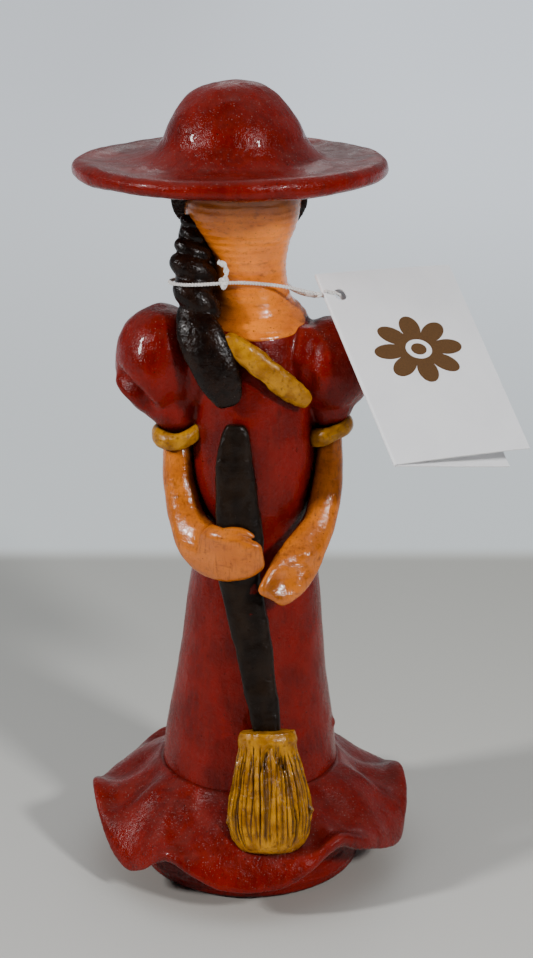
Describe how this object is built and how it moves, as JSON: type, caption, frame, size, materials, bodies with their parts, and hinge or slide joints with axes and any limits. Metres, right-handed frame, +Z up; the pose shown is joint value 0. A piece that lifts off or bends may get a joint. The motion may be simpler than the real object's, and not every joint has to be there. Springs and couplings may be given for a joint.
{
  "type": "clay doll figure",
  "caption": "Faceless glazed clay doll in a wide hat and long ruffled dress, holding a broom, with a braid and a folded shop tag on a string.",
  "frame": {"origin": "the middle of the foot's underside, on the surface the doll stands on", "axes": "+Z up; the doll faces -Y; +X is to the right of someone who looks at the doll's front, and left in a node name is the -X side"},
  "size_m": [0.1289, 0.0968, 0.2362],
  "materials": {
    "dress_red": "dark red paint under gloss varnish on fired clay, pores and worn edges",
    "skin_clay": "bare orange terracotta under gloss varnish, turning lines and dark specks",
    "hair_brown": "near-black brown paint under gloss varnish",
    "gold_paint": "ochre yellow paint with a thin brown wash in the hollows",
    "white_card": "matt white linen-textured card with a brown printed mark",
    "cotton_string": "white two-ply twisted cotton string"
  },
  "bodies": {
    "doll": {"foot": "dress_red", "skirt": "dress_red", "ruffle": "dress_red", "bodice": "dress_red", "hat_brim": "dress_red", "hat_crown": "dress_red", "sleeve_left": "dress_red", "sleeve_right": "dress_red", "neck_head": "skin_clay", "arm_left": "skin_clay", "arm_right": "skin_clay", "hair_shell": "hair_brown", "braid_strand_a": "hair_brown", "braid_strand_b": "hair_brown", "braid_end": "hair_brown", "broom_handle": "hair_brown", "arm_band_left": "gold_paint", "arm_band_right": "gold_paint", "collar_ribbon": "gold_paint", "broom_head": "gold_paint", "string_loop": "cotton_string", "string_knot": "cotton_string", "string_tail": "cotton_string"},
    "string_lead": {"string_lead_front": "cotton_string", "string_lead_rear": "cotton_string", "string_hitch": "cotton_string"},
    "tag_back": {"tag_back_leaf": "white_card", "string_behind_tag": "cotton_string"},
    "tag_front": {"tag_front_leaf": "white_card", "string_over_tag": "cotton_string"}
  },
  "joints": [
    {"name": "string_swing", "type": "hinge", "parent": "doll", "child": "string_lead", "pos_m": [0.0126, -0.00407, 0.17843], "axis": [-0.008, -0.9717, 0.236], "range_deg": [0, 24]},
    {"name": "tag_swing", "type": "hinge", "parent": "string_lead", "child": "tag_back", "pos_m": [0.02575, -0.00681, 0.17706], "axis": [0.571, -0.4528, 0.6848], "range_deg": [0, 10]},
    {"name": "tag_fold", "type": "hinge", "parent": "tag_back", "child": "tag_front", "pos_m": [0.0193, -0.0044, 0.1824], "axis": [0.3328, -0.6349, -0.6972], "range_deg": [0, 30]}
  ]
}
